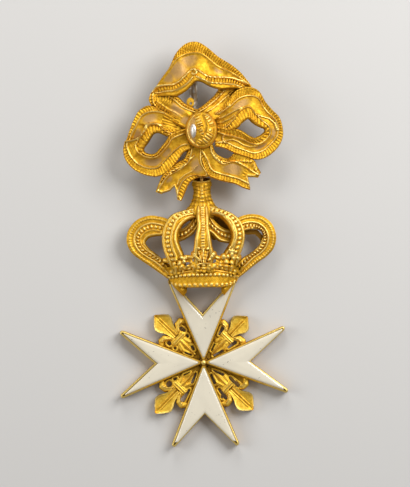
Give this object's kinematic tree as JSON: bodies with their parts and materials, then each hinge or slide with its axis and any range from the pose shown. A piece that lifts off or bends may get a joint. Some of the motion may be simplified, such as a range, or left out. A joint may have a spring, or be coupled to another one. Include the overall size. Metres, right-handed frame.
{
  "type": "order badge brooch",
  "caption": "Gilt order badge worn as a brooch: a ribbon bow with a hinged pin behind, a pierced crown, and a white enamelled cross with fleurs-de-lis in its angles.",
  "frame": {"origin": "middle of the badge seen from the front, on the surface that it lies on", "axes": "+Y from the cross to the top of the bow, +Z out of the badge's face"},
  "size_m": [0.0228, 0.0546, 0.0068],
  "materials": {
    "gilt": "worn gilding over cast metal, satin with bright edges",
    "gilt_matte": "matte gilding, brown in the recesses",
    "steel": "dull drawn steel",
    "enamel": "glossy warm white enamel with a few small specks"
  },
  "bodies": {
    "badge": {"bow": "gilt", "pin_bracket": "gilt", "pin_catch": "gilt", "suspension_ring": "gilt", "crown": "gilt", "cross_frame": "gilt", "enamel_top": "enamel", "enamel_right": "enamel", "enamel_bottom": "enamel", "enamel_left": "enamel", "fleur_top_left": "gilt_matte", "fleur_top_right": "gilt_matte", "fleur_bottom_right": "gilt_matte", "fleur_bottom_left": "gilt_matte"},
    "pin": {"pin_stem": "steel"}
  },
  "joints": [
    {"name": "pin_hinge", "type": "hinge", "parent": "badge", "child": "pin", "pos_m": [-0.00062, 0.0236, 0.00095], "axis": [1, 0, 0], "range_deg": [0, 80]}
  ]
}
